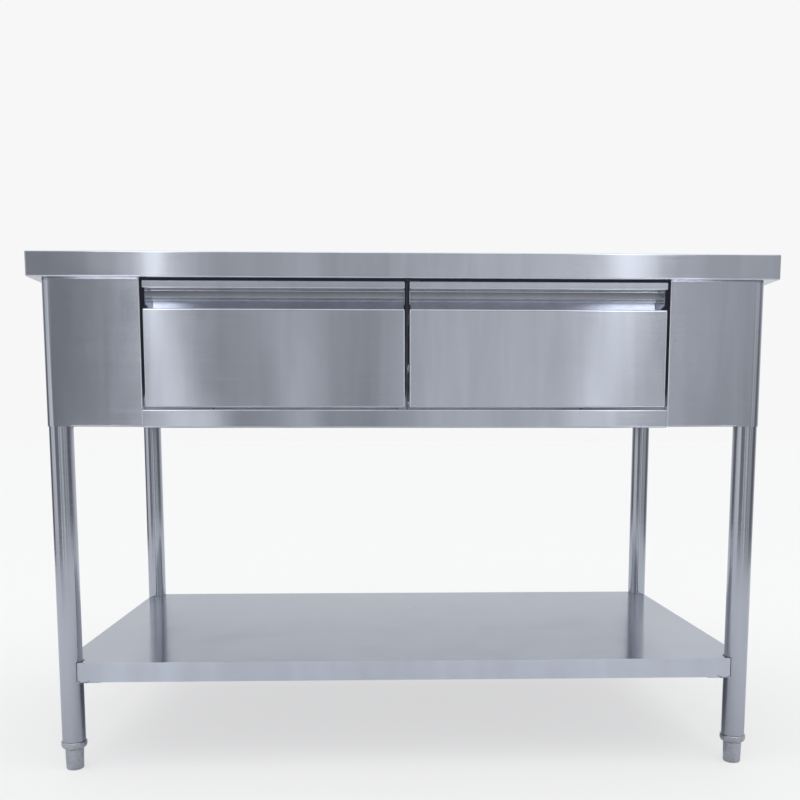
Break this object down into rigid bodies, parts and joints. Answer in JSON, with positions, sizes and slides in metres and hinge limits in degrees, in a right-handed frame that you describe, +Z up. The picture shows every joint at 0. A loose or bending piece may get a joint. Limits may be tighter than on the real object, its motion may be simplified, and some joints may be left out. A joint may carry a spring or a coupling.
{
  "type": "stainless steel work table",
  "caption": "Free-standing stainless work table with a folded lip, drawers with finger grooves, round legs on levelling feet and a solid lower shelf.",
  "frame": {"origin": "on the floor, under the middle of the table", "axes": "+X to the right along the length, +Y to the rear, +Z up; the drawers open towards -Y"},
  "size_m": [1.2, 0.7, 0.85],
  "materials": {
    "worktop_steel": "satin brushed stainless steel, grain along the length",
    "apron_steel": "satin brushed stainless steel",
    "drawer_steel": "satin brushed stainless steel",
    "leg_steel": "satin stainless tube",
    "shelf_steel": "satin brushed stainless steel, lightly scuffed",
    "foot_steel": "satin turned stainless steel",
    "foot_insert": "satin turned stainless steel collar",
    "hardware_steel": "mill-finish steel",
    "slide_steel": "bright zinc-plated steel",
    "board": "raw chipboard"
  },
  "bodies": {
    "frame": {"worktop_skin": "worktop_steel", "worktop_board": "board", "worktop_channel_front": "hardware_steel", "worktop_channel_back": "hardware_steel", "apron_left": "apron_steel", "drawer_wall_left": "hardware_steel", "apron_right": "apron_steel", "drawer_wall_right": "hardware_steel", "apron_back": "apron_steel", "bottom_rail": "apron_steel", "centre_divider": "hardware_steel", "slide_outer_left_wall": "slide_steel", "slide_outer_left_divider": "slide_steel", "slide_outer_right_wall": "slide_steel", "slide_outer_right_divider": "slide_steel", "leg_front_left": "leg_steel", "leg_spigot_front_left": "hardware_steel", "leg_bolt_front_left": "hardware_steel", "foot_insert_front_left": "foot_insert", "leg_front_right": "leg_steel", "leg_spigot_front_right": "hardware_steel", "leg_bolt_front_right": "hardware_steel", "foot_insert_front_right": "foot_insert", "leg_back_left": "leg_steel", "leg_spigot_back_left": "hardware_steel", "leg_bolt_back_left": "hardware_steel", "foot_insert_back_left": "foot_insert", "leg_back_right": "leg_steel", "leg_spigot_back_right": "hardware_steel", "leg_bolt_back_right": "hardware_steel", "foot_insert_back_right": "foot_insert", "undershelf": "shelf_steel", "shelf_channel": "hardware_steel", "shelf_bracket_front_left": "hardware_steel", "shelf_bolt_front_left": "hardware_steel", "shelf_bracket_front_right": "hardware_steel", "shelf_bolt_front_right": "hardware_steel", "shelf_bracket_back_left": "hardware_steel", "shelf_bolt_back_left": "hardware_steel", "shelf_bracket_back_right": "hardware_steel", "shelf_bolt_back_right": "hardware_steel"},
    "drawer_left": {"drawer_front_left": "drawer_steel", "drawer_box_left": "drawer_steel", "slide_inner_left_wall": "slide_steel", "slide_inner_left_divider": "slide_steel"},
    "slide_middles_left": {"slide_middle_left_wall": "slide_steel", "slide_middle_left_divider": "slide_steel"},
    "drawer_right": {"drawer_front_right": "drawer_steel", "drawer_box_right": "drawer_steel", "slide_inner_right_wall": "slide_steel", "slide_inner_right_divider": "slide_steel"},
    "slide_middles_right": {"slide_middle_right_wall": "slide_steel", "slide_middle_right_divider": "slide_steel"},
    "foot_front_left": {"foot_front_left": "foot_steel"},
    "foot_front_right": {"foot_front_right": "foot_steel"},
    "foot_back_left": {"foot_back_left": "foot_steel"},
    "foot_back_right": {"foot_back_right": "foot_steel"}
  },
  "joints": [
    {"name": "drawer_left_slide", "type": "slide", "parent": "frame", "child": "drawer_left", "axis": [0, -1, 0], "range_m": [0, 0.45]},
    {"name": "slide_middles_left_slide", "type": "slide", "parent": "frame", "child": "slide_middles_left", "axis": [0, -1, 0], "range_m": [0, 0.225]},
    {"name": "drawer_right_slide", "type": "slide", "parent": "frame", "child": "drawer_right", "axis": [0, -1, 0], "range_m": [0, 0.45]},
    {"name": "slide_middles_right_slide", "type": "slide", "parent": "frame", "child": "slide_middles_right", "axis": [0, -1, 0], "range_m": [0, 0.225]},
    {"name": "foot_front_left_screw", "type": "slide", "parent": "frame", "child": "foot_front_left", "axis": [0, 0, -1], "range_m": [0, 0.025]},
    {"name": "foot_front_right_screw", "type": "slide", "parent": "frame", "child": "foot_front_right", "axis": [0, 0, -1], "range_m": [0, 0.025]},
    {"name": "foot_back_left_screw", "type": "slide", "parent": "frame", "child": "foot_back_left", "axis": [0, 0, -1], "range_m": [0, 0.025]},
    {"name": "foot_back_right_screw", "type": "slide", "parent": "frame", "child": "foot_back_right", "axis": [0, 0, -1], "range_m": [0, 0.025]}
  ],
  "couplings": [
    {"joint": "slide_middles_left_slide", "follows": "drawer_left_slide", "ratio": 0.5},
    {"joint": "slide_middles_right_slide", "follows": "drawer_right_slide", "ratio": 0.5}
  ]
}
